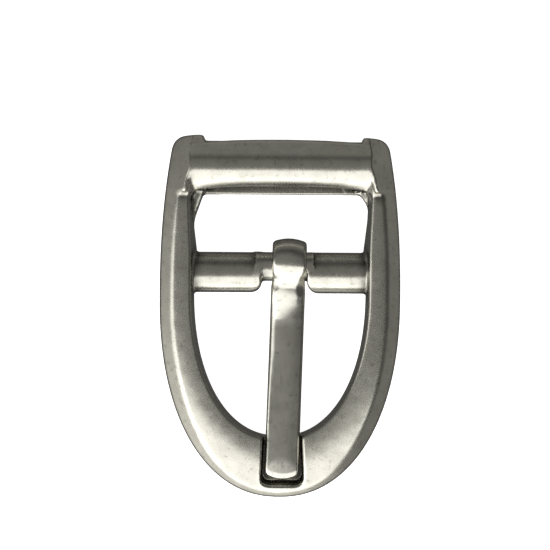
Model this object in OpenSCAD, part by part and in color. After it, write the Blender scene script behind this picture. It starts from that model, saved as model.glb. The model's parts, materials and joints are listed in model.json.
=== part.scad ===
// Belt buckle with a built-in keeper: a one-piece die-cast frame and a prong that swings on it.
// It lies on its back. +X runs across the strap, +Y towards the keeper, +Z out of the face.
// The origin is under the middle of the buckle, on the surface that it lies on.
// Every shape is drawn with Y measured from the neck that the prong swings on.

/* [Strap] */
// Width of the strap that the buckle takes
strap_w = 25; // [20:0.5:40]
// Free space on each side of the strap in the front opening
strap_side_gap = 0.7; // [0.4:0.1:1.5]
// Clear height of the keeper's slot
slot_h = 4.5; // [4.2:0.1:7]

/* [Outline] */
// Width of one side rail at its widest place
rail_w = 5; // [4:0.05:8]
// Distance from the neck back to the widest place of the outline
widest_y = 5.1; // [3:0.1:8]
// Length of the rounded front, from the widest place to the tip
front_l = 30.3; // [24:0.1:44]
// Depth of the rail at the tip, from the opening to the outer edge
tip_rail_w = 9.2; // [8:0.1:12]
// How much nearer to the neck the opening is widest than the outline is
opening_shift = 1.5; // [0:0.1:2.5]
// How square the rounded front is, where 2 is an ellipse
squareness = 2.2; // [2:0.05:2.6]
// Length of the ellipse that the outline follows from the widest place to the keeper
shoulder_l = 47.5; // [38:0.1:60]
// Radius of the two outer corners at the keeper end
corner_r = 2.2; // [1.5:0.1:3.6]

/* [Face] */
// Height of the rail at the tip
tip_h = 3.9; // [3.6:0.1:5]
// Height of the rails where they meet the keeper
rail_h = 6.9; // [6.6:0.1:8]
// How far the face bulges above a straight line from tip to keeper
face_bow = 0.55; // [0:0.05:1]
// Width of the outer bevel at the sides
bevel_side_w = 1.95; // [1:0.05:2.4]
// Width of the outer bevel at the tip
bevel_tip_w = 1.2; // [0.8:0.05:2]
// Slope of the outer bevel, in degrees
bevel_angle = 47; // [35:1:50]
// Slope of the domed face beside the bevel, in degrees
dome_outer = 13; // [5:1:20]
// Slope of the domed face beside the opening, in degrees
dome_inner = 8; // [2:1:12]
// Radius of the broken edges
edge_r = 0.35; // [0.2:0.05:0.5]
// How far the inner wall leans into the front opening
front_draft = 0.15; // [0.05:0.05:0.3]
// How far the inner wall leans into the window beside the strap bar
window_draft = 0.6; // [0.1:0.05:0.7]

/* [Strap bar] */
// Width of the strap bar at its two wide ends
bar_w = 6.35; // [5.6:0.05:8]
// Diameter of the round neck that the prong swings on
neck_d = 4.4; // [3.6:0.1:4.6]
// How much longer the neck is than the prong is wide
neck_play = 1.7; // [1:0.1:3]
// Distance from the middle of the frame to the middle of the neck
neck_x = 0.68; // [0:0.01:1]

/* [Keeper] */
// Clear length of the window between the strap bar and the keeper
window_l = 8.9; // [7:0.1:14]
// Distance from the window to the middle of the keeper's round bar
keeper_bar_inset = 4.0; // [3.2:0.1:5]
// Radius of the keeper's round bar
keeper_bar_r = 3.05; // [2.6:0.05:3.2]
// Height of the round bar's crest above the slot
keeper_bar_h = 2.6; // [2.2:0.05:2.9]
// Length of the flat lip beyond the middle of the round bar
lip_l = 3.35; // [3:0.05:5]
// Thickness of the flat lip
lip_t = 2.2; // [1.8:0.05:2.2]
// How far the lip's edge bulges in the middle
lip_crown = 0.3; // [0.1:0.05:0.6]
// Thickness of the keeper's back plate
back_t = 1.3; // [1:0.1:2]
// How far the back plate reaches beyond the lip
plate_reach = 0.9; // [0:0.05:1]
// How far the two lugs reach beyond the lip
lug_l = 0.85; // [0.5:0.05:1.5]
// How far the two lugs reach in over the strap's edges
lug_inset = 0.5; // [0.1:0.05:1]
// Corner web between back plate and left rail: across and along
web_left = [1.3, 3.9]; // [0.6:0.1:4]
// Corner web between back plate and right rail: across and along
web_right = [0.65, 0.95]; // [0.6:0.05:4]

/* [Prong] */
// Width of the prong
prong_w = 5.2; // [4:0.05:6.4]
// Thickness of the prong's blade
prong_t = 1.75; // [1.4:0.05:1.9]
// Gap between the prong and the wide end of the bar on its right
prong_side_gap = 0.05; // [0.03:0.01:0.2]
// Angle at which the prong leans in its seat
prong_lean = 1.7; // [0:0.1:2]
// Running clearance between the neck and the prong's eye
eye_gap = 0.06; // [0.02:0.01:0.1]
// Thinnest wall of the prong's eye, above the neck
eye_wall = 1.15; // [1:0.05:1.3]
// Distance from the neck's axis back to the middle of the eye's outer curve
eye_shift = 0.8; // [0.5:0.05:1]
// Gap between the prong's eye and the surface under the buckle
eye_lift = 0.05; // [0.05:0.01:0.2]
// Length of the bend that leads from the top of the eye down to the blade
bend_l = 4.2; // [4:0.1:7]
// Height above the neck's axis at which the blade alone would reach the neck
blade_h = 2.15; // [1.8:0.05:2.2]
// Distance in front of the neck over which the blade falls to the level of its tip
fall_l = 18; // [12:0.5:22]
// Radius of the prong's rounded end
tip_r = 4.8; // [3.4:0.1:8]
// Distance from the tip of the frame to the end of the prong
tip_inset = 2.95; // [2.6:0.05:3.6]
// Gap between the prong's end and the end of its seat
tip_gap = 0.3; // [0.2:0.05:0.6]
// Clearance under the prong and at each side of it in the seat
seat_gap = 0.12; // [0.05:0.01:0.3]
// Extra width of the seat, on top of the clearance at its two sides
seat_play = 1.0; // [0.5:0.05:1.2]
// Distance from the middle of the prong's tip to the middle of the seat
seat_shift = 0.1; // [0:0.05:0.3]
// Depth of metal that is left under the seat at the tip
seat_floor = 2.1; // [1.6:0.05:2.4]

/* [Hidden] */
nickel = [0.60, 0.59, 0.57];
steel = [0.66, 0.65, 0.63];
overlap = 0.6;
far = 60;

// Outline
opening_x = strap_w / 2 + strap_side_gap;
outer_x = opening_x + rail_w + front_draft;
tip_y = -widest_y - front_l;
opening_tip_y = tip_y + tip_rail_w;
opening_wide_y = opening_shift - widest_y;
opening_l = opening_wide_y - opening_tip_y;
keeper_y = neck_d / 2 + window_l;
keeper_bar_y = keeper_y + keeper_bar_inset;
lip_y = keeper_bar_y + lip_l;
end_y = lip_y + lip_crown + lug_l;
middle_y = (end_y + tip_y) / 2;

// How far the keeper blocks stand above the lip, and how far their two end faces lean
// for each millimetre of bevel
block_step = 0.2;
end_lean = 0.15;

// Heights
slot_top = back_t + slot_h;
keeper_top = slot_top + keeper_bar_h;
lip_top = slot_top + lip_t;
block_top = lip_top + block_step;
face_l = keeper_y - tip_y;
block_wall_h = rail_h - bevel_side_w * tan(bevel_angle) - edge_r;

// The eye hangs just clear of the surface below, which sets the height of the neck
neck_r = neck_d / 2;
eye_r = neck_r + eye_gap;
eye_top = eye_r + eye_wall;
eye_outer_r = norm([eye_shift, eye_top]);
neck_z = eye_outer_r + eye_lift;

// Strap bar: a round neck between wide ends, whose half-round top stands a hair above it
bar_rise = 0.1;
bar_back_z = neck_z - neck_r;
bar_r = bar_w / 2;
bar_y = neck_r - bar_r;
bar_z = neck_z + neck_r + bar_rise - bar_r;
notch_r = bar_w - neck_d;
neck_l = prong_w + neck_play;

// Prong: its right side clears the bar at every angle of its swing, in spite of its lean
lean_reach = (eye_outer_r + eye_shift) * sin(prong_lean);
prong_x = neck_x + neck_l / 2 - prong_side_gap - lean_reach - prong_w / 2 / cos(prong_lean);
tip_end_y = tip_y + tip_inset;
blade_end_z = seat_floor + seat_gap + prong_t;
bend_steps = 10;
blade_steps = 16;
// Bevelled end of the blade: distance from the end, and depth below its top
tip_bevel = [[0.8, 0.35], [0, 1.1]];
tip_under = [0.5, 0.3];
// Mouth of the wrapped eye: where it starts above the neck's underside, its height and length
mouth_low = 0.7;
mouth_h = 1.2;
mouth_l = 3.5;

// Seat: its end slopes up to the face of the frame
seat_end_y = tip_end_y - tip_gap;
seat_w = prong_w + 2 * seat_gap + seat_play;
seat_x = prong_x + tan(prong_lean) * tip_end_y + seat_shift;
seat_slope_l = 0.75;

// Stations along the U of the rails
tip_steps = 44;
rail_shares = [0.1, 0.2, 0.3, 0.4, 0.5, 0.6, 0.7, 0.8, 0.9, 1];
dome_steps = 6;
sunk_l = 1.2;
sunk_in = 0.4;

// The rails' inner edge: length over which the draft beside the bar fades out,
// and how much wider the window's top edge gets towards the keeper
fade_l = 5;
window_flare = 0.35;

function mix(a, b, s) = a + (b - a) * s;

// Height of the rails' face at a distance along the buckle
function face_z(y) = let (t = (y - tip_y) / face_l)
    tip_h + (rail_h - tip_h) * t + 4 * face_bow * t * (1 - t);

// Half-width of the outer outline beyond the widest place, with the corner rounded off
function shoulder_x(y) = outer_x * pow(1 - pow((y + widest_y) / shoulder_l, squareness), 1 / squareness);
function corner_cut(y) = let (d = max(0, y - end_y + corner_r)) corner_r - sqrt(corner_r * corner_r - d * d);
function outer_edge(y) = shoulder_x(y) - corner_cut(y);

// Half-width between the rails at their back, narrowed by the draft beside the strap bar
function back_edge(y) = opening_x - lookup(y, [
    [bar_y - bar_r, 0],
    [neck_r, window_draft - front_draft],
    [neck_r + fade_l, 0],
]);
function top_edge(y) = opening_x + front_draft + lookup(y, [[neck_r, 0], [keeper_y, window_flare]]);

// A point of a rounded end: an ellipse with squared shoulders
function rounded(a, b, t) = [
    a * sign(cos(t)) * pow(abs(cos(t)), 2 / squareness),
    -b * pow(abs(sin(t)), 2 / squareness),
];

// One station of the rails: its outer, inner top and inner back points, how deep it is sunk
// under the face, and its bevel's width
function front_station(t) = let (
    outer = [0, -widest_y] + rounded(outer_x, front_l, t),
    top = [0, opening_wide_y] + rounded(opening_x + front_draft, opening_l - front_draft, t),
    back = [0, opening_wide_y] + rounded(opening_x, opening_l, t),
    share = pow(sin(t), 2)
) [outer, top, back, 0, bevel_side_w + (bevel_tip_w - bevel_side_w) * share];

function side_station(side, y_outer, y_inner, sunk) = [
    [side * (outer_edge(y_outer) - sunk), y_outer],
    [side * (top_edge(y_inner) + sunk), y_inner],
    [side * (back_edge(y_inner) + sunk), y_inner],
    sunk,
    bevel_side_w,
];

// The straight part of one rail; its last station is sunk inside the block beside the keeper
function side_stations(side) = concat(
    [for (s = rail_shares) let (
        y_outer = mix(-widest_y, keeper_y, s),
        y_inner = mix(opening_wide_y, keeper_y, s)
    ) side_station(side, y_outer, y_inner, 0)],
    [side_station(side, keeper_y + sunk_l, keeper_y + sunk_l, sunk_in)]
);

function reversed(list) = [for (i = [len(list) - 1 : -1 : 0]) list[i]];
stations = concat(
    reversed(side_stations(1)),
    [for (i = [0 : tip_steps]) front_station(180 * i / tip_steps)],
    side_stations(-1)
);

// The closed section at one station: back, outer wall, bevel, dome, inner edge, inner wall
function section(st) = let (
    span = norm(st[1] - st[0]),
    inwards = (st[1] - st[0]) / span,
    bevel = st[4],
    dome_w = span - bevel,
    crest = dome_outer / (dome_outer + dome_inner),
    bend = (dome_outer + dome_inner) / 2 * PI / 180,
    face = function (k) face_z(st[0][1] + inwards[1] * (bevel + dome_w * k)) - st[3],
    dome = function (k) face(k) - dome_w * bend * pow(k - crest, 2),
    wall_top = dome(0) - bevel * tan(bevel_angle),
    lay = function (u, z) [st[0][0] + inwards[0] * u, st[0][1] + inwards[1] * u, z],
    edge_k = 1 - edge_r / dome_w,
    corner = edge_r * (1 - cos(45))
) concat(
    [lay(edge_r, 0), lay(0, edge_r), lay(0, wall_top)],
    [for (i = [0 : dome_steps]) let (k = edge_k * i / dome_steps) lay(bevel + dome_w * k, dome(k))],
    [lay(span - corner, dome(1) - corner), lay(span, dome(1) - edge_r)],
    [[st[2][0], st[2][1], edge_r], [st[2][0] - inwards[0] * edge_r, st[2][1] - inwards[1] * edge_r, 0]]
);

// The two rails and the rounded front as one swept shape
module rails() {
    rings = [for (st = stations) section(st)];
    n = len(rings[0]);
    last = len(rings) - 1;
    polyhedron(
        points = [for (ring = rings) for (p = ring) p],
        faces = concat(
            [[for (j = [0 : n - 1]) j]],
            [for (i = [0 : last - 1]) for (j = [0 : n - 1]) let (k = (j + 1) % n) each [
                [i * n + j, (i + 1) * n + j, (i + 1) * n + k],
                [i * n + j, (i + 1) * n + k, i * n + k],
            ]],
            [[for (j = [n - 1 : -1 : 0]) last * n + j]]
        ),
        convexity = 8
    );
}

// Extrudes a drawing of the side view, [y, z], across the buckle from one x to another
module across(x_from, x_to) {
    translate([x_from, 0, 0])
        rotate([90, 0, 90])
            linear_extrude(x_to - x_from)
                children();
}

// Side view of the strap bar's wide ends: half-round on top, flat at the back
module bar_profile() {
    translate([bar_y, bar_z])
        circle(bar_r, $fn = 72);
    translate([bar_y - bar_r, bar_back_z])
        square([bar_w, bar_z - bar_back_z]);
}

// Plan of one wide end: its corner beside the neck is rounded away
module bar_plan(x_neck, side) {
    x_far = side * (opening_x + overlap);
    x_near = x_neck + side * notch_r;
    translate([min(x_near, x_far), -far / 2])
        square([abs(x_far - x_near), far]);
    translate([min(x_neck, x_near), -neck_r])
        square([notch_r, far / 2]);
    translate([x_near, -neck_r])
        circle(notch_r, $fn = 48);
}

module strap_bar() {
    across(neck_x - neck_l / 2 - overlap, neck_x + neck_l / 2 + overlap)
        translate([0, neck_z])
            circle(neck_r, $fn = 72);
    for (side = [-1, 1])
        intersection() {
            across(-opening_x - overlap, opening_x + overlap)
                intersection() {
                    bar_profile();
                    translate([-far / 2, bar_back_z])
                        square([far, far]);
                }
            linear_extrude(far)
                bar_plan(neck_x + side * neck_l / 2, side);
        }
}

// Round bar of the keeper, cut flat where it is the ceiling of the slot
module keeper_bar() {
    across(-opening_x - overlap, opening_x + overlap)
        intersection() {
            translate([keeper_bar_y, keeper_top - keeper_bar_r])
                circle(keeper_bar_r, $fn = 72);
            translate([keeper_bar_y - far / 2, slot_top])
                square([far, far]);
        }
}

// Flat lip behind the round bar; its edge bulges in the middle as an arc
module keeper_lip() {
    half = opening_x + overlap;
    arc_r = (half * half + lip_crown * lip_crown) / (2 * lip_crown);
    translate([0, 0, slot_top])
        linear_extrude(lip_t)
            intersection() {
                translate([-half, keeper_bar_y])
                    square([2 * half, far]);
                translate([0, lip_y + lip_crown - arc_r])
                    circle(arc_r, $fn = 720);
            }
}

// Back plate that closes the keeper's slot, with a web in each corner of the window
module back_plate() {
    half = opening_x + overlap;
    plate_y = lip_y + plate_reach;
    linear_extrude(back_t)
        polygon([
            [-half, plate_y],
            [-half, keeper_y - web_left[1]],
            [-opening_x, keeper_y - web_left[1]],
            [-opening_x + web_left[0], keeper_y],
            [opening_x - web_right[0], keeper_y],
            [opening_x, keeper_y - web_right[1]],
            [half, keeper_y - web_right[1]],
            [half, plate_y],
        ]);
}

// Plan of the block at one end of the keeper, with its outer side moved in by an inset.
// Its lug reaches in over the strap's edge.
module block_plan(inset) {
    lug_x = strap_w / 2 - lug_inset;
    from_y = keeper_y - edge_r + end_lean * inset;
    corner_y = end_y - corner_r;
    polygon(concat(
        [[opening_x + front_draft, from_y]],
        [for (s = [0 : 0.25 : 1]) let (y = mix(from_y, corner_y, s)) [outer_edge(y) - inset, y]],
        [for (a = [15 : 15 : 90]) [
            max(lug_x, outer_edge(corner_y) - inset - corner_r * (1 - cos(a))),
            corner_y + (corner_r - end_lean * inset) * sin(a)
        ]],
        [[lug_x, end_y - end_lean * inset]]
    ));
}

// Block that carries the keeper's end: the rail's wall and bevel run on and climb to the keeper
module keeper_block() {
    levels = [
        [edge_r, 0],
        [0, edge_r],
        [0, block_wall_h],
        [(block_top - block_wall_h) / tan(bevel_angle), block_top],
    ];
    thin = 0.01;
    difference() {
        hull()
            for (level = levels)
                translate([0, 0, level[1] - (level[1] > edge_r ? thin : 0)])
                    linear_extrude(thin)
                        block_plan(level[0]);
        translate([0, keeper_y - far / 2, back_t])
            cube([opening_x, far, slot_h]);
    }
}

// Side view of the seat: a flat floor that ends in a steep slope
module seat_profile() {
    polygon([
        [opening_tip_y + far / 4, seat_floor],
        [seat_end_y, seat_floor],
        [seat_end_y - seat_slope_l, tip_h],
        [seat_end_y - seat_slope_l, far / 2],
        [opening_tip_y + far / 4, far / 2],
    ]);
}

// Notch in the tip of the frame that the prong's end lies in
module seat() {
    across(seat_x - seat_w / 2, seat_x + seat_w / 2)
        seat_profile();
}

module frame() {
    color(nickel)
        translate([0, -middle_y, 0])
            difference() {
                union() {
                    rails();
                    strap_bar();
                    keeper_bar();
                    keeper_lip();
                    back_plate();
                    keeper_block();
                    mirror([1, 0, 0])
                        keeper_block();
                }
                seat();
            }
}

// Height of the blade's top at a distance in front of the neck: the bend, then an easing fall
function blade_line(d) = let (left = max(0, 1 - d / fall_l))
    blade_end_z + (neck_z + blade_h - blade_end_z) * left * left;
function blade_top(d) = let (u = min(1, (d + eye_shift) / bend_l))
    mix(neck_z + eye_top, blade_line(d), u * u * (3 - 2 * u));

// Side view of the blade, as thick everywhere as the sheet it is pressed from
module blade_profile() {
    bend_end = bend_l - eye_shift;
    bend = [for (i = [0 : bend_steps]) mix(-eye_shift, bend_end, i / bend_steps)];
    blade = [for (i = [1 : blade_steps - 1]) mix(bend_end, -tip_end_y - tip_bevel[0][0], i / blade_steps)];
    way = concat(bend, blade);
    polygon(concat(
        [for (d = way) [-d, blade_top(d)]],
        [for (p = tip_bevel) [tip_end_y + p[0], blade_end_z - p[1]]],
        [[tip_end_y, blade_end_z - prong_t + tip_under[1]]],
        [[tip_end_y + tip_under[0], blade_end_z - prong_t]],
        [for (d = reversed(way)) if (d > eye_r) [-d, blade_top(d) - prong_t]],
        [[0, neck_z]]
    ));
}

// Side view of the eye, thicker on the side away from the blade
module eye_profile() {
    translate([eye_shift, neck_z])
        circle(eye_outer_r, $fn = 72);
}

// Plan of the prong, with its rounded end
module prong_plan() {
    intersection() {
        translate([-prong_w / 2, tip_end_y])
            square([prong_w, far]);
        union() {
            translate([0, tip_end_y + tip_r])
                circle(tip_r, $fn = 96);
            translate([-prong_w / 2, tip_end_y + tip_r])
                square([prong_w, far]);
        }
    }
}

module prong() {
    color(steel)
        translate([0, -middle_y, 0])
            difference() {
                translate([prong_x, 0, 0])
                    rotate([0, 0, -prong_lean])
                        intersection() {
                            across(-prong_w / 2, prong_w / 2)
                                union() {
                                    blade_profile();
                                    eye_profile();
                                }
                            linear_extrude(far)
                                prong_plan();
                        }
                // Round hole for the neck
                translate([prong_x - prong_w, 0, neck_z])
                    rotate([0, 90, 0])
                        cylinder(h = 2 * prong_w, r = eye_r, $fn = 96);
                // Mouth of the wrapped eye, under the blade
                across(prong_x - prong_w, prong_x + prong_w)
                    translate([-mouth_l - neck_r / 2, neck_z - neck_r + mouth_low])
                        square([mouth_l, mouth_h]);
            }
}

frame();
prong();
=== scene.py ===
import json
import math

import bpy
import numpy as np
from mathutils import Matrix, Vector

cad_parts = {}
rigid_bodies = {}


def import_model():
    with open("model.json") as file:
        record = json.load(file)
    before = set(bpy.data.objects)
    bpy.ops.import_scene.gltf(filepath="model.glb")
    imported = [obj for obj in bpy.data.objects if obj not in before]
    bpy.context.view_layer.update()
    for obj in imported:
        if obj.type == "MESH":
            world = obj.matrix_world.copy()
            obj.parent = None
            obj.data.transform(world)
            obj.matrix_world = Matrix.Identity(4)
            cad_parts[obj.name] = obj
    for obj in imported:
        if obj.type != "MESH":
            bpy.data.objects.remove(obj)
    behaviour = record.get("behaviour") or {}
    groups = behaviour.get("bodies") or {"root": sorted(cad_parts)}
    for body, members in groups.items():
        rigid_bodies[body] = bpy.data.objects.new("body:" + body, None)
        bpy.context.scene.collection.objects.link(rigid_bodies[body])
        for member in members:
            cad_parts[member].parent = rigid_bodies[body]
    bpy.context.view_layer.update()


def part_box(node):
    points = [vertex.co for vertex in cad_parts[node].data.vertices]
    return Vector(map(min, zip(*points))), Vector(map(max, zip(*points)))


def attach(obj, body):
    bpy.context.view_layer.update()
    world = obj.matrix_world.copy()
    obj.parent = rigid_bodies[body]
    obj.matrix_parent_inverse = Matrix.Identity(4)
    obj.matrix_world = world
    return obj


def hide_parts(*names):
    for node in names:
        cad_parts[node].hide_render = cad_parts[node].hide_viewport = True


for leftover in list(bpy.data.objects):
    bpy.data.objects.remove(leftover)
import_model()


# The buckle's frame: one zinc die-casting, tumbled and plated, with the rails, strap bar and
# keeper in one piece. It is a distance formula in millimetres, negative inside the metal, with
# Y measured from the neck that the prong swings on, and with cast fillets between its shapes.
MM = 0.001
low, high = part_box("frame")
NECK_Y = 7.9
OUTER_X = high.x / MM
TIP_Y = low.y / MM - NECK_Y
END_Y = high.y / MM - NECK_Y
# Widths of the roundings that most edges and inner corners have
EDGE = 0.3
SOFT_EDGE = 0.4
FILLET = 0.5


def rounded_max(a, b, width):
    """The overlap of two shapes, whose shared edge is rounded over this width."""
    near = np.maximum(width - np.abs(a - b), 0) / width
    return np.maximum(a, b) + near * near * width / 4


def rounded_min(a, b, width):
    """Two shapes joined, with a fillet of this width between them."""
    return -rounded_max(-a, -b, width)


def cut(shape, tool, width):
    """A shape with a tool's room taken out, and the edge of the cut rounded."""
    return rounded_max(shape, -tool, width)


def box(x, y, z, size, corner):
    """A box about the origin, given by its half sizes."""
    flat = rounded_max(np.abs(x) - size[0], np.abs(y) - size[1], corner)
    return rounded_max(flat, np.abs(z) - size[2], corner)


# The outline and the opening are squared ovals. Each has its widest place, with a short half
# towards the tip; the outline's other half is long, and the opening's rails run on straight.
SQUARENESS = 2.2
WIDEST_Y = -5.1
FRONT_L = WIDEST_Y - TIP_Y
SHOULDER_L = 47.5
OPENING_X = 13.35
OPENING_WIDE_Y = -3.6
OPENING_TIP_Y = -26.2
OPENING_FLARE = 0.35
NECK_R = 2.2
KEEPER_Y = 11.1
# The opening's wall leans in at its foot, and more so beside the strap bar
DRAFT = 0.15
DRAFT_H = 6
BAR_DRAFT = 0.45
BAR_DRAFT_Y = (-3.87, NECK_R, NECK_R + 5)


def oval(x, y, half_x, half_y):
    """Distance outside a squared oval, and the direction straight out of it."""
    # The nearest place on the oval is closed in on from the point itself
    on_x, on_y = x + 0 * y, y + 0 * x
    for turn in range(5):
        size_x, size_y = np.maximum(np.abs(on_x), 1e-6), np.maximum(np.abs(on_y), 1e-6)
        part_x, part_y = (size_x / half_x) ** SQUARENESS, (size_y / half_y) ** SQUARENESS
        gauge = (part_x + part_y) ** (1 / SQUARENESS)
        slope_x = np.sign(on_x) * part_x / size_x * gauge / (part_x + part_y)
        slope_y = np.sign(on_y) * part_y / size_y * gauge / (part_x + part_y)
        steep = slope_x**2 + slope_y**2
        on_x, on_y = on_x - (gauge - 1) * slope_x / steep, on_y - (gauge - 1) * slope_y / steep
        out_x, out_y = slope_x / np.sqrt(steep), slope_y / np.sqrt(steep)
        away = (x - on_x) * out_x + (y - on_y) * out_y
        on_x = on_x + 0.7 * (x - on_x - away * out_x)
        on_y = on_y + 0.7 * (y - on_y - away * out_y)
    return away, out_x, out_y


def opening_edge(x, y):
    """Distance inside the opening, at its top edge."""
    round_end = oval(x, y - OPENING_WIDE_Y, OPENING_X, OPENING_WIDE_Y - OPENING_TIP_Y)[0]
    flare = OPENING_FLARE * np.clip((y - NECK_R) / (KEEPER_Y - NECK_R), 0, 1)
    return np.where(y < OPENING_WIDE_Y, round_end, np.abs(x) - OPENING_X - flare)


# The rails' face rises from the tip to the keeper in a slight bow. Across it they have a low
# dome, which falls by these angles to either side of its crest, and a bevel outside the ridge.
TIP_H = 3.9
RAIL_H = 6.9
FACE_BOW = 0.55
DOME_OUTER = 13
DOME_INNER = 8
DOME_CREST = DOME_OUTER / (DOME_OUTER + DOME_INNER)
DOME_BEND = math.radians(DOME_OUTER + DOME_INNER) / 2
RAIL_EDGE = 0.6
BEVEL_SIDE_W = 1.95
BEVEL_TIP_W = 1.2
BEVEL = math.tan(math.radians(47))
BEVEL_FOOT = 0.5
RIDGE = 0.4
KEEPER_RIDGE = 0.2
# How far a shape runs on inside its neighbour, so that no gap is left between them
OVERLAP = 0.5


def face_height(y):
    """Height of the rails' face along the buckle, rising from the tip to the keeper."""
    t = np.clip((y - TIP_Y) / (KEEPER_Y - TIP_Y), 0, 1)
    return TIP_H + (RAIL_H - TIP_H) * t + 4 * FACE_BOW * t * (1 - t)


def rails_and_bevel(y, z, outline, out_y, opening, wall):
    inset = -outline
    at_front = np.where(y < WIDEST_Y, out_y**2, 0)
    bevel_w = BEVEL_SIDE_W + (BEVEL_TIP_W - BEVEL_SIDE_W) * at_front
    dome_w = np.maximum(inset + opening - bevel_w, 1)
    share = (inset - bevel_w) / dome_w
    dome = z - (face_height(y) - dome_w * DOME_BEND * (share - DOME_CREST) ** 2)
    rails = rounded_max(np.maximum(dome, y - KEEPER_Y - OVERLAP), -wall, RAIL_EDGE)
    ridge_y = y - out_y * (bevel_w - inset)
    ridge_h = face_height(ridge_y) - dome_w * DOME_BEND * DOME_CREST**2
    bevel = (z - (ridge_h - bevel_w * BEVEL) - inset * BEVEL) / math.hypot(1, BEVEL)
    return rails, bevel


# The keeper: a round bar across the buckle, a flat lip behind it, a slot for the strap's end
# below them, and the slot's back plate
BAR_TOP_H = high.z / MM - 0.03
BAR_Y = 15.1
BAR_R = 3.05
# The bar's front widens below this height, most of all at its ends
SKIRT_TOP = 7.8
SKIRT_H = 1.6
SKIRT_MIDDLE = 0.06
SKIRT_ENDS = 0.2
LIP_Y = 18.45
LIP_H = 8.0
LIP_CROWN = 0.5
SLOT_X = 13.2
SLOT_LOW = 1.3
SLOT_HIGH = 5.8
SLOT_Y = 20
SLOT_HALF_L = 9.5
SLOT_CORNER = 0.5
SLOT_EDGE = 0.35
PLATE_Y = 19.35
PLATE_FILLET = 0.12
LIP_FILLET = 0.2
# Blocks at its ends, with inner faces that slope and splay out in front of the bar, and with a
# lug each behind the lip
BLOCK_H = 8.0
BLOCK_X = 12.9
BLOCK_SPLAY = 0.4
BLOCK_SLOPE = 0.7
BLOCK_FILLET = 0.8
LEFT_LUG_X = 11.66
RIGHT_LUG_X = 12.5
LUG_SLOPE = 0.48


def keeper(x, y, z):
    """The bar and the lip with the blocks at their ends, and the back plate."""
    across = np.abs(x) / SLOT_X
    skirt = np.clip((SKIRT_TOP - z) / SKIRT_H, 0, 1) * (y < BAR_Y)
    reach = 1 + skirt * (SKIRT_MIDDLE + SKIRT_ENDS * np.minimum(across, 1) ** 3)
    bar = np.hypot((y - BAR_Y) / reach, z - BAR_TOP_H + BAR_R) - BAR_R
    lip = rounded_max(z - LIP_H, y - LIP_Y - LIP_CROWN * (1 - across**2), EDGE)
    lip = np.maximum(lip, BAR_Y - y)
    bridge = rounded_max(rounded_min(bar, lip, LIP_FILLET), SLOT_HIGH - OVERLAP - z, EDGE)
    plate = rounded_max(np.maximum(z - SLOT_LOW, KEEPER_Y - y), y - PLATE_Y, EDGE)
    lug_x = np.where(x < 0, LEFT_LUG_X, RIGHT_LUG_X) - LUG_SLOPE * (END_Y - y)
    inner_x = BLOCK_X + BLOCK_SPLAY * np.maximum(BAR_Y - y, 0) - BLOCK_SLOPE * (BLOCK_H - z)
    inner_x = np.where(y > LIP_Y - EDGE, lug_x, inner_x)
    block = rounded_max(z - BLOCK_H, KEEPER_Y - y, SOFT_EDGE)
    block = rounded_max(block, 0.8 * (inner_x - np.abs(x)), SOFT_EDGE)
    return rounded_min(bridge, block, np.where(y < BAR_Y, FILLET, 0.1)), plate


# The plan's two corners behind the blocks, of which the right one sits a little lower
END_CORNER = 2.0
RIGHT_END_DROP = 0.3
# Webs that brace the window's corners: side, width, length and height at the keeper
WEBS = ((-1, 1.5, 4.2, 2.6), (1, 1.1, 1.6, 1.5))
WEB_SLOPE = 0.24
WEB_X = 14.2
# The strap bar: a round neck between two wide ends
NECK_Z = 3.553
NECK_X = 0.68
NECK_HALF_L = 3.45
WIDE_R = 3.175
WIDE_RISE = 0.03
NOTCH_R = 2 * (WIDE_R - NECK_R)
STRAP_BAR_X = 14.5
STRAP_BAR_FILLET = 0.7
# The seat: the notch in the tip that the prong's end rests in
SEAT_X = 0.5
SEAT_HALF_W = 3.0
SEAT_FLARE = 0.22
SEAT_END_Y = -32.75
SEAT_END_SLOPE = 0.54
SEAT_CORNER = 1.6
SEAT_FLOOR = 2.1
SEAT_OPEN_Y = -20
SEAT_EDGE = 0.45
BACK_EDGE = 0.6


def strap_bar(x, y, z):
    neck = np.maximum(np.hypot(y, z - NECK_Z) - NECK_R, np.abs(x - NECK_X) - NECK_HALF_L - 1)
    wide_z = NECK_Z + NECK_R + WIDE_RISE - WIDE_R
    wide = np.hypot(y - (NECK_R - WIDE_R), np.maximum(z - wide_z, 0)) - WIDE_R
    wide = rounded_max(wide, NECK_Z - NECK_R - z, FILLET)
    # The wide ends' inner corners are rounded in plan. The right end is crisper, which leaves a
    # dark gap beside the prong's eye.
    along = np.abs(x - NECK_X) - NECK_HALF_L
    corner = np.hypot(np.minimum(along - NOTCH_R, 0), y + NECK_R) - NOTCH_R
    crisp = x > NECK_X
    wide = rounded_max(wide, np.where(y > -NECK_R, -along, corner), np.where(crisp, 0.3, 0.7))
    return rounded_min(neck, np.maximum(wide, np.abs(x) - STRAP_BAR_X), np.where(crisp, 0.2, 0.5))


def seat(x, y, z):
    half_w = SEAT_HALF_W + SEAT_FLARE * np.clip((OPENING_TIP_Y - y) / 5, 0, 1)
    end = SEAT_END_Y - SEAT_END_SLOPE * (z - SEAT_FLOOR) - y
    notch = rounded_max(np.abs(x - SEAT_X) - half_w, end, SEAT_CORNER)
    return rounded_max(rounded_max(notch, SEAT_FLOOR - z, EDGE), y - SEAT_OPEN_Y, FILLET)


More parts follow.
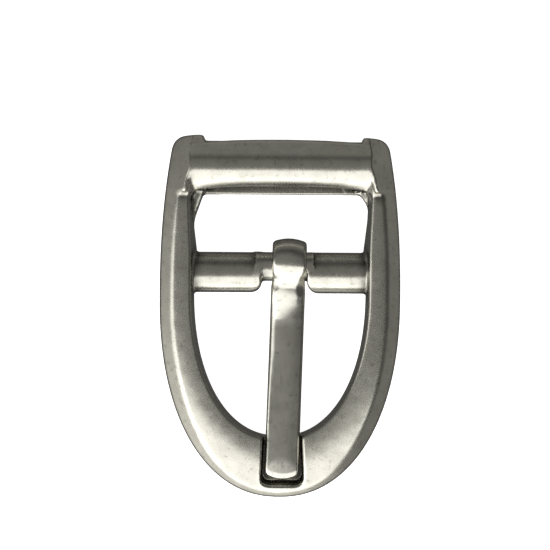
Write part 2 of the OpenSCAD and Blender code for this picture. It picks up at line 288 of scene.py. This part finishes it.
def casting(x, y, z):
    half_l = np.where(y < WIDEST_Y, FRONT_L, SHOULDER_L)
    outline, out_x, out_y = oval(x, y - WIDEST_Y, OUTER_X, half_l)
    opening = opening_edge(x, y)
    lean = DRAFT + BAR_DRAFT * np.interp(y, BAR_DRAFT_Y, [0, 1, 0])
    wall = opening + lean * np.clip(1 - z / DRAFT_H, 0, 1)
    rails, bevel = rails_and_bevel(y, z, outline, out_y, opening, wall)
    bridge, plate = keeper(x, y, z)
    shell = rounded_min(rounded_min(bridge, rails, BLOCK_FILLET), plate, PLATE_FILLET)
    # The outer bevel and the outline cut the rails and the keeper alike
    outside = rounded_max(outline, y - END_Y + RIGHT_END_DROP * (x > 0), END_CORNER)
    outside = rounded_max(outside, bevel, BEVEL_FOOT)
    shell = rounded_max(shell, outside, np.where(y < KEEPER_Y + 1, RIDGE, KEEPER_RIDGE))
    slot_size = (SLOT_X, SLOT_HALF_L, (SLOT_HIGH - SLOT_LOW) / 2)
    slot = box(x, y - SLOT_Y, z - (SLOT_LOW + SLOT_HIGH) / 2, slot_size, SLOT_CORNER)
    shell = cut(shell, slot, SLOT_EDGE)
    for sign, wide, long, top in WEBS:
        slant = (OPENING_X - sign * x) / wide + (KEEPER_Y - y) / long - 1
        over = z - top - WEB_SLOPE * (y - KEEPER_Y)
        web = rounded_max(slant / math.hypot(1 / wide, 1 / long), over, SOFT_EDGE)
        web = np.maximum(np.maximum(web, y - KEEPER_Y - OVERLAP), np.abs(x) - WEB_X)
        # A web has no part on the buckle's other side, and 9 mm is out of any fillet's reach
        shell = rounded_min(shell, np.where(sign * x > 0, web, 9), FILLET)
    shell = rounded_min(shell, strap_bar(x, y, z), STRAP_BAR_FILLET)
    return rounded_max(cut(shell, seat(x, y, z), SEAT_EDGE), -z, BACK_EDGE)


# Where the surface's hollowness, which gets patina and painted shade, is felt for, and how far
# inside an edge is
HOLLOW_REACH = (0.5, 1.2, 2.2)
EDGE_REACH = 0.5


def cast_mesh(name, shape, low, high, step):
    """Skins a distance formula: one point in each cell of a grid that the surface crosses,
    drawn onto the surface, and a four-sided face round each grid line that it cuts."""
    axes = [np.arange(low[i] - 1.5 * step, high[i] + 2.5 * step, step) for i in range(3)]
    x, y, z = np.meshgrid(*axes, indexing="ij", sparse=True)
    field = shape(x, y, z)
    inside = field < 0
    cells = np.zeros([n - 1 for n in field.shape], int)
    size = cells.shape
    corners = [(i, j, k) for i in (0, 1) for j in (0, 1) for k in (0, 1)]
    for i, j, k in corners:
        cells += inside[i : i + size[0], j : j + size[1], k : k + size[2]]
    crossed = np.nonzero((cells > 0) & (cells < 8))
    number = np.full(size, -1)
    number[crossed] = np.arange(len(crossed[0]))
    # Each point starts at the mean of the places where the surface cuts its cell's edges
    found = np.array(crossed)
    total = np.zeros((3, found.shape[1]))
    count = np.zeros(found.shape[1])
    for start in corners:
        for axis in range(3):
            if start[axis]:
                continue
            end = tuple(1 if i == axis else start[i] for i in range(3))
            a = field[tuple(found[i] + start[i] for i in range(3))]
            b = field[tuple(found[i] + end[i] for i in range(3))]
            cuts = (a < 0) != (b < 0)
            t = np.where(cuts, a / np.where(cuts, a - b, 1), 0)
            for i in range(3):
                total[i] += cuts * (start[i] + (t if i == axis else 0))
            count += cuts
    points = np.array([axes[i][found[i]] + step * total[i] / count for i in range(3)])
    nudge = 0.02
    offsets = np.eye(3) * nudge

    def slope(at):
        ahead = [shape(*(at + offsets[i][:, None])) for i in range(3)]
        behind = [shape(*(at - offsets[i][:, None])) for i in range(3)]
        return (np.array(ahead) - np.array(behind)) / (2 * nudge)

    for turn in range(3):
        way = slope(points)
        move = shape(*points) * way / np.maximum((way**2).sum(0), 0.05)
        points = points - np.clip(move, -step / 2, step / 2)
    faces = []
    for a in range(3):
        b, c = (a + 1) % 3, (a + 2) % 3
        first = np.take(inside, range(inside.shape[a] - 1), a)
        second = np.take(inside, range(1, inside.shape[a]), a)
        at = np.array(np.nonzero(first != second))
        out = first[tuple(at)]
        ring = []
        for step_b, step_c in ((1, 1), (0, 1), (0, 0), (1, 0)):
            cell = at.copy()
            cell[b] -= step_b
            cell[c] -= step_c
            ring.append(number[tuple(cell)])
        ring = np.array(ring).T
        faces.append(np.where(out[:, None], ring, ring[:, ::-1]))
    mesh = bpy.data.meshes.new(name)
    where = points.T + [0, NECK_Y, 0]
    mesh.from_pydata((where * MM).tolist(), [], np.concatenate(faces).tolist())
    mesh.update()
    mesh.shade_smooth()
    normals = slope(points)
    normals /= np.maximum(np.sqrt((normals**2).sum(0)), 1e-9)
    mesh.normals_split_custom_set_from_vertices(normals.T.tolist())
    # How hollow the surface is at each point, where dark patina and painted shade go, and how much
    # of an edge
    patina_and_shade_mask = [1 - shape(*(points + normals * reach)) / reach for reach in HOLLOW_REACH]
    edge = 1 + shape(*(points - normals * EDGE_REACH)) / EDGE_REACH
    for label, amount in (("patina_and_shade_mask", sum(patina_and_shade_mask) / len(patina_and_shade_mask)), ("edge", edge)):
        values = mesh.attributes.new(label, "FLOAT", "POINT").data
        values.foreach_set("value", np.clip(amount, 0, 1))
    piece = bpy.data.objects.new(name, mesh)
    bpy.context.scene.collection.objects.link(piece)
    return piece


detail = 0.28
buckle_frame = cast_mesh(
    "buckle_frame", casting, (-OUTER_X, TIP_Y, 0), (OUTER_X, END_Y, BAR_TOP_H), detail
)
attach(buckle_frame, "frame")
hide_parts("frame")


def linear(code):
    """An sRGB hex colour as the linear values that a shader takes."""
    parts = [int(code[i : i + 2], 16) / 255 for i in (1, 3, 5)]
    return [p / 12.92 if p <= 0.04045 else ((p + 0.055) / 1.055) ** 2.4 for p in parts] + [1]


def node(tree, kind, inputs=(), **settings):
    """Adds a node with its settings; an input takes a value or another node's output."""
    made = tree.nodes.new(kind)
    for name, value in settings.items():
        setattr(made, name, value)
    for name, value in dict(inputs).items():
        if isinstance(value, bpy.types.NodeSocket):
            tree.links.new(value, made.inputs[name])
        else:
            made.inputs[name].default_value = value
    return made


# Satin nickel: nickel plate over a tumbled surface, with antique patina left in its corners by the
# final buffing, and painted shade darkening the same hollows. It gives soft warm grey reflections,
# a fine grain, dark lines of patina and painted shade in the hollows and a brighter, smoother
# metal along the edges.
PALE_NICKEL = "#c8c6bc"
PIT_PATINA = "#55534d"
# Patina and painted shade: the colour that the hollows are darkened towards
DARK_PATINA_AND_SHADE = "#24221e"
RUBBED_NICKEL = "#d9d6ca"


def satin_nickel(name, dull, roughness):
    material = bpy.data.materials.new(name)
    material.use_nodes = True
    tree = material.node_tree
    shader = tree.nodes["Principled BSDF"]
    shader.inputs["Metallic"].default_value = 1
    place = node(tree, "ShaderNodeTexCoord").outputs["Object"]
    # Clouds of thinner and thicker plate, 2.5 mm across
    cloud = node(tree, "ShaderNodeTexNoise", {
        "Vector": place, "Scale": 1 / (2.5 * MM), "Detail": 3, "Roughness": 0.6,
    }).outputs["Fac"]
    # Tumbling grain, drawn at 0.35 mm so that it shows
    grain = node(tree, "ShaderNodeTexNoise", {
        "Vector": place, "Scale": 1 / (0.35 * MM), "Detail": 3, "Roughness": 0.7,
    }).outputs["Fac"]
    plate = node(tree, "ShaderNodeMix", {
        "Factor": cloud, "A": linear(dull), "B": linear(PALE_NICKEL),
    }, data_type="RGBA").outputs["Result"]
    # Shallow casting pits, 0.8 mm apart, that hold a little patina
    pits = node(tree, "ShaderNodeTexNoise", {
        "Vector": place, "Scale": 1 / (0.8 * MM), "Detail": 2, "Roughness": 0.6,
    }).outputs["Fac"]
    pitted = node(tree, "ShaderNodeMapRange", {
        "Value": pits, "From Min": 0.58, "From Max": 0.72, "To Max": 0.3,
    }).outputs["Result"]
    worn = node(tree, "ShaderNodeMix", {
        "Factor": pitted, "A": plate, "B": linear(PIT_PATINA),
    }, data_type="RGBA").outputs["Result"]
    # Dark patina and painted shade in the hollows, and plate rubbed bright along the edges
    patina_and_shade_mask = node(tree, "ShaderNodeAttribute", attribute_name="patina_and_shade_mask").outputs["Fac"]
    patina_and_shade_amount = node(tree, "ShaderNodeMapRange", {
        "Value": patina_and_shade_mask, "From Min": 0.04, "From Max": 0.45, "To Max": 0.85,
    }).outputs["Result"]
    aged_and_shaded = node(tree, "ShaderNodeMix", {
        "Factor": patina_and_shade_amount, "A": worn, "B": linear(DARK_PATINA_AND_SHADE),
    }, data_type="RGBA").outputs["Result"]
    edge = node(tree, "ShaderNodeAttribute", attribute_name="edge").outputs["Fac"]
    rubbed = node(tree, "ShaderNodeMapRange", {
        "Value": edge, "From Min": 0.1, "From Max": 0.5, "To Max": 0.6,
    }).outputs["Result"]
    colour = node(tree, "ShaderNodeMix", {
        "Factor": rubbed, "A": aged_and_shaded, "B": linear(RUBBED_NICKEL),
    }, data_type="RGBA").outputs["Result"]
    tree.links.new(colour, shader.inputs["Base Color"])
    rough = node(tree, "ShaderNodeMapRange", {
        "Value": grain, "From Min": 0.3, "From Max": 0.7,
        "To Min": roughness - 0.02, "To Max": roughness + 0.03,
    }).outputs["Result"]
    tree.links.new(rough, shader.inputs["Roughness"])
    # Soft dents from tumbling, 3 mm across and 0.04 mm deep, under the grain's 0.0025 mm tooth
    waves = node(tree, "ShaderNodeTexNoise", {
        "Vector": place, "Scale": 1 / (3 * MM), "Detail": 1, "Roughness": 0.5,
    }).outputs["Fac"]
    dents = node(tree, "ShaderNodeBump", {"Height": waves, "Distance": 0.04 * MM, "Strength": 1})
    tooth = node(tree, "ShaderNodeBump", {
        "Height": grain, "Distance": 0.0025 * MM, "Strength": 1, "Normal": dents.outputs["Normal"],
    })
    tree.links.new(tooth.outputs["Normal"], shader.inputs["Normal"])
    return material


buckle_frame.data.materials.append(satin_nickel("satin_nickel_on_zinc", "#a19f95", 0.26))


# The prong: a strip of steel 1.75 mm thick, pressed so that its face is slightly crowned, bent
# down behind the neck and wrapped round it. Its tip is struck to a short bevel.
low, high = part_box("prong")
PRONG_X = 1.35
PRONG_HALF_W = 2.6
PRONG_T = 1.75
PRONG_LEAN = math.radians(1.7)
PRONG_END = 32.45
TIP_R = 4.8
PLAN_EDGE = 0.5
# The blade's line, from its end up to the bend, where it climbs to the top of the eye
BLADE_END_Z = 3.97
BLADE_RISE = 0.28
BLADE_L = 32
FALL_END = 7.6
FALL_SLOPE = 0.24
BEND_END = 3.8
BEND_L = 4.2
# Its face: crowned all along, more so and a little twisted in the upper part of its length,
# where the left edge is also rolled over further
CROWN = 0.28
UPPER_CROWN = 1.5
TWIST = 0.1
UPPER_BLADE = (5, 8, 13, 24)
ROLLED_FROM = 1.6
ROLLED = 0.14
# The eye round the neck, its bore, and the mouth that the wrap leaves open underneath
EYE_SHIFT = 0.8
EYE_TOP = 3.41
EYE_R = 3.503
EYE_CROWN = 2.0
EYE_BACK = -4.3
BORE_R = 2.26
MOUTH_Y = -2.85
MOUTH_Z = NECK_Z - 0.9
MOUTH_SIZE = (1.75, 0.6)
# The struck bevel at the tip, and the steeper nose at its very end: length, drop and slope
STRUCK = (2.6, 0.03, 0.085)
NOSE = (0.8, 0.19, 0.24)


def pressing(x, y, z):
    across = (x - PRONG_X) * math.cos(PRONG_LEAN) - y * math.sin(PRONG_LEAN)
    ahead = -y * math.cos(PRONG_LEAN) - (x - PRONG_X) * math.sin(PRONG_LEAN)
    line = BLADE_END_Z + BLADE_RISE * (1 - ahead / BLADE_L)
    line = line + rounded_max(FALL_SLOPE * (FALL_END - ahead), 0, 0.45)
    line = line - 0.1 * rounded_max(BEND_END - ahead, 0, 0.8)
    t = np.clip((ahead + EYE_SHIFT) / BEND_L, 0, 1)
    eye_top = NECK_Z + EYE_TOP
    middle = eye_top + (line - eye_top) * t * t * (3 - 2 * t)
    crown = CROWN * np.interp(ahead, [1, 6, 13, 22], [1, UPPER_CROWN, UPPER_CROWN, 1])
    upper = np.interp(ahead, UPPER_BLADE, [0, 1, 1, 0])
    fall = crown * (across / PRONG_HALF_W) ** 2 - TWIST * upper * across
    fall = fall + ROLLED * upper * np.maximum(-across - ROLLED_FROM, 0) ** 2
    blade = rounded_max(z - middle + fall, middle - PRONG_T - z, EDGE)
    blade = rounded_max(blade, -ahead - EYE_SHIFT, 0.1)
    length, drop, slope = STRUCK
    struck = z - BLADE_END_Z + drop + slope * (ahead - PRONG_END + length) + 0.6 * fall
    length, drop, slope = NOSE
    nose = z - BLADE_END_Z + drop + slope * (ahead - PRONG_END + length) + fall
    blade = rounded_max(blade, rounded_max(struck, nose, 0.03), 0.04)
    eye_fall = fall * np.interp(ahead, [EYE_BACK, 0], [EYE_CROWN, 1])
    eye = np.hypot(ahead + EYE_SHIFT, z - NECK_Z) - EYE_R + eye_fall
    body = rounded_min(blade, eye, EDGE)
    # Pressed facets either side of the bend leave a shield between them. The right one runs on
    # along the blade.
    waist_left = np.interp(ahead, [-0.4, 2.7, 4.2], [2.7, 1.2, 2.8])
    waist_right = np.interp(ahead, [-0.4, 2.9], [2.7, 1.1])
    steep_right = np.interp(ahead, [2.0, 4.5], [0.5, 0.24])
    facet_left = rounded_max(0.4 * (-across - waist_left), 0, 0.3)
    facet_right = rounded_max(steep_right * (across - waist_right), 0, 0.15)
    body = body + (facet_left + facet_right) * np.clip(z - NECK_Z, 0, 1)
    # The plan: straight sides and a round end
    past = ahead - PRONG_END + TIP_R
    end = np.where(past > 0, np.hypot(across, past) - TIP_R, np.abs(across) - TIP_R)
    plan = rounded_max(np.abs(across) - PRONG_HALF_W, end, PLAN_EDGE)
    body = rounded_max(body, plan, PLAN_EDGE)
    body = cut(body, np.hypot(y, z - NECK_Z) - BORE_R, EDGE)
    mouth = np.maximum(np.abs(y - MOUTH_Y) - MOUTH_SIZE[0], np.abs(z - MOUTH_Z) - MOUTH_SIZE[1])
    return cut(body, mouth, 0.2)


prong_low = (low.x / MM, low.y / MM - NECK_Y, 0)
prong_high = (high.x / MM, high.y / MM - NECK_Y, high.z / MM)
prong = cast_mesh("prong_pressing", pressing, prong_low, prong_high, detail / 1.6)
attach(prong, "prong")
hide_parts("prong")
prong.data.materials.append(satin_nickel("satin_nickel_on_steel", "#b0aea5", 0.24))


# The pale floor that the buckle lies on: a lit white board, which the metal doesn't mirror.
bpy.ops.mesh.primitive_plane_add(size=4, location=(0, 0, -0.1 * MM))
floor = bpy.context.object
floor.name = "floor"
white = bpy.data.materials.new("matt_white_board")
white.use_nodes = True
board = white.node_tree.nodes["Principled BSDF"]
board.inputs["Base Color"].default_value = linear("#f4f4f4")
board.inputs["Roughness"].default_value = 1
board.inputs["Specular IOR Level"].default_value = 0
board.inputs["Emission Color"].default_value = linear("#ffffff")
board.inputs["Emission Strength"].default_value = 1
floor.data.materials.append(white)
floor.visible_glossy = False


# Soft studio light: a broad softbox beyond the tip and a smaller one to the left, in a dim room
# with a paler ceiling and a bright band along the horizon towards the softboxes.
def softbox(name, place, size, brightness):
    """A lamp aimed at the buckle, whose face has this radiance whatever its size."""
    light = bpy.data.lights.new(name, "AREA")
    light.shape = "RECTANGLE"
    light.size, light.size_y = size
    light.energy = brightness * math.pi * size[0] * size[1]
    lamp = bpy.data.objects.new(name, light)
    bpy.context.scene.collection.objects.link(lamp)
    lamp.location = place
    lamp.rotation_euler = (-Vector(place)).to_track_quat("-Z", "Y").to_euler()


softbox("front_softbox", (-0.069, -0.4, 0.285), (0.88, 0.64), 2.0)
softbox("left_softbox", (-0.384, -0.179, 0.265), (0.47, 0.27), 1.9)

world = bpy.data.worlds.new("dim_room")
bpy.context.scene.world = world
world.use_nodes = True
room = world.node_tree
direction = node(room, "ShaderNodeTexCoord").outputs["Generated"]
height = node(room, "ShaderNodeSeparateXYZ", {"Vector": direction}).outputs["Z"]
upward = node(room, "ShaderNodeVectorMath", {
    0: direction, 1: (-0.2, 0.05, 0.98),
}, operation="DOT_PRODUCT").outputs["Value"]
ceiling = node(room, "ShaderNodeMapRange", {
    "Value": upward, "From Min": 0.62, "From Max": 0.95, "To Min": 0.09, "To Max": 0.27,
}, interpolation_type="SMOOTHSTEP").outputs["Result"]
above_ground = node(room, "ShaderNodeMapRange", {
    "Value": height, "From Min": -0.7, "From Max": -0.3, "To Min": 0, "To Max": 1,
}, interpolation_type="SMOOTHSTEP").outputs["Result"]
below_ceiling = node(room, "ShaderNodeMapRange", {
    "Value": height, "From Min": 0.1, "From Max": 0.55, "To Min": 1, "To Max": 0,
}, interpolation_type="SMOOTHSTEP").outputs["Result"]
toward_lamps = node(room, "ShaderNodeVectorMath", {
    0: direction, 1: (-0.5, -0.85, 0),
}, operation="DOT_PRODUCT").outputs["Value"]
side_light = node(room, "ShaderNodeMapRange", {
    "Value": toward_lamps, "From Min": 0.2, "From Max": 0.95, "To Min": 0.2, "To Max": 1.1,
}, interpolation_type="SMOOTHSTEP").outputs["Result"]
band = node(room, "ShaderNodeMath", {
    0: above_ground, 1: below_ceiling,
}, operation="MULTIPLY").outputs["Value"]
horizon = node(room, "ShaderNodeMath", {
    0: band, 1: side_light,
}, operation="MULTIPLY").outputs["Value"]
brightness = node(room, "ShaderNodeMath", {
    0: ceiling, 1: horizon,
}, operation="ADD").outputs["Value"]
room.links.new(brightness, room.nodes["Background"].inputs["Strength"])
room.nodes["Background"].inputs["Color"].default_value = (1, 0.99, 0.96, 1)

# The camera looks straight down from 220 mm, turned by a fraction of a degree
camera_data = bpy.data.cameras.new("camera")
camera_data.lens = 93
camera_data.sensor_width = 36
camera = bpy.data.objects.new("camera", camera_data)
bpy.context.scene.collection.objects.link(camera)
camera.location = (-0.77 * MM, 6.61 * MM, 220 * MM)
camera.rotation_euler = (0, 0, math.radians(0.4))
bpy.context.scene.camera = camera
bpy.context.scene.view_settings.view_transform = "Standard"
